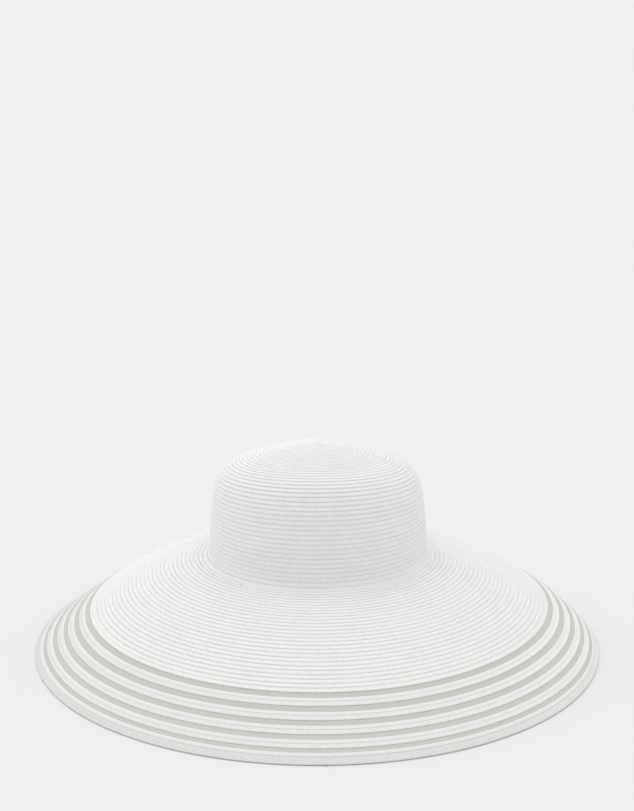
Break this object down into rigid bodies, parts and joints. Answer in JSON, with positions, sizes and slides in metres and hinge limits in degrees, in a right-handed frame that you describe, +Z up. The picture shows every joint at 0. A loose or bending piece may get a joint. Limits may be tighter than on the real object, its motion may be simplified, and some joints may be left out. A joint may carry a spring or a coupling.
{
  "type": "wide brim sun hat",
  "caption": "Sun hat of sewn white straw braid with a round oval crown and a wide drooping brim that has sheer ribbon bands near its rim.",
  "frame": {"origin": "on the surface that the rim rests on, under the middle of the hat's outline", "axes": "+Z up, -Y to the front of the hat, X from ear to ear"},
  "size_m": [0.4516, 0.4654, 0.1557],
  "materials": {
    "white_braid": "matt white sewn straw braid with a fine plait",
    "sheer_ribbon": "fine sheer white ribbon that lets light through"
  },
  "bodies": {
    "root": {"crown": "white_braid", "inner_brim": "white_braid", "sheer_ribbon_1": "sheer_ribbon", "sheer_ribbon_2": "sheer_ribbon", "sheer_ribbon_3": "sheer_ribbon", "sheer_ribbon_4": "sheer_ribbon", "sheer_ribbon_5": "sheer_ribbon", "braid_band_1": "white_braid", "braid_band_2": "white_braid", "braid_band_3": "white_braid", "braid_band_4": "white_braid", "rim_band": "white_braid"}
  },
  "joints": []
}
